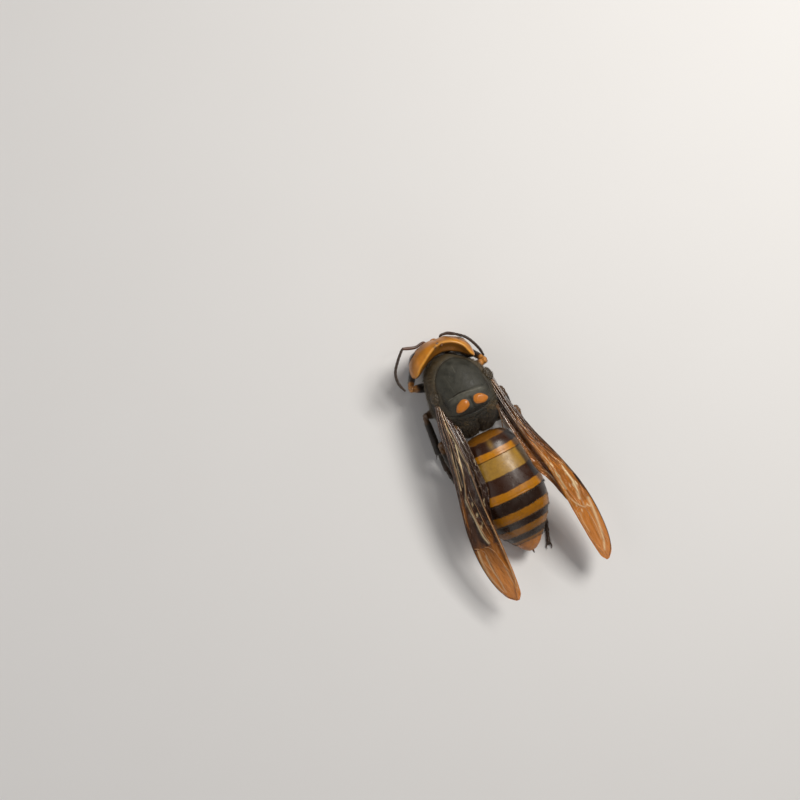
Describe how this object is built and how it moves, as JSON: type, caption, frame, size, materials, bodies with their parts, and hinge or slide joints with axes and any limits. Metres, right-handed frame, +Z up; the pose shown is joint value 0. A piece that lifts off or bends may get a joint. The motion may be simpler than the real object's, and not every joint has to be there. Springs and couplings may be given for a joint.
{
  "type": "asian giant hornet",
  "caption": "Still, life-size giant hornet resting on its belly and feet, with banded abdomen and half-spread folded wings, as a museum model.",
  "frame": {"origin": "on the floor, under the middle of the hornet's outline seen from above", "axes": "+Z up, -Y towards the head, +X towards the hornet's left side"},
  "size_m": [0.0256, 0.0534, 0.0137],
  "materials": {
    "head_shell": "satin orange-yellow shell",
    "eye_lens": "gloss dark brown",
    "jaw": "satin orange shell with dark teeth",
    "scape_shell": "satin reddish brown",
    "feeler_shell": "matt dark olive-brown",
    "thorax_shell": "matt greenish black with short fine hair",
    "collar_shell": "matt olive-brown with fine pale hair",
    "scutellum_shell": "satin black with two orange spots",
    "abdomen_shell": "gloss, banded yellow and dark brown",
    "abdomen_dark": "gloss, black-brown with a yellow rear edge",
    "abdomen_tip": "satin orange",
    "sting_shell": "gloss dark brown",
    "wing_membrane": "gloss amber-brown membrane with darker veins",
    "leg_shell": "satin black-brown with short hair",
    "foot_shell": "satin dark brown"
  },
  "bodies": {
    "root": {"head": "head_shell", "eye_left": "eye_lens", "eye_right": "eye_lens", "mandible_left": "jaw", "mandible_right": "jaw", "antenna_scape_left": "scape_shell", "antenna_scape_right": "scape_shell", "antenna_flagellum_left": "feeler_shell", "antenna_flagellum_right": "feeler_shell", "pronotum": "collar_shell", "mesothorax": "thorax_shell", "scutellum": "scutellum_shell", "propodeum": "thorax_shell", "tegula_left": "jaw", "tegula_right": "jaw", "abdomen_1": "abdomen_shell", "abdomen_2": "abdomen_shell", "abdomen_3": "abdomen_dark", "abdomen_4": "abdomen_dark", "abdomen_5": "abdomen_dark", "abdomen_6": "abdomen_tip", "sting": "sting_shell", "forewing_left": "wing_membrane", "forewing_right": "wing_membrane", "hindwing_left": "wing_membrane", "hindwing_right": "wing_membrane", "coxa_fore_left": "leg_shell", "coxa_fore_right": "leg_shell", "coxa_mid_left": "leg_shell", "coxa_mid_right": "leg_shell", "coxa_hind_left": "leg_shell", "coxa_hind_right": "leg_shell", "femur_fore_left": "leg_shell", "femur_fore_right": "leg_shell", "femur_mid_left": "leg_shell", "femur_mid_right": "leg_shell", "femur_hind_left": "leg_shell", "femur_hind_right": "leg_shell", "tibia_fore_left": "leg_shell", "tibia_fore_right": "leg_shell", "tibia_mid_left": "leg_shell", "tibia_mid_right": "leg_shell", "tibia_hind_left": "leg_shell", "tibia_hind_right": "leg_shell", "tarsus_fore_left": "foot_shell", "tarsus_fore_right": "foot_shell", "tarsus_mid_left": "foot_shell", "tarsus_mid_right": "foot_shell", "tarsus_hind_left": "foot_shell", "tarsus_hind_right": "foot_shell"}
  },
  "joints": []
}
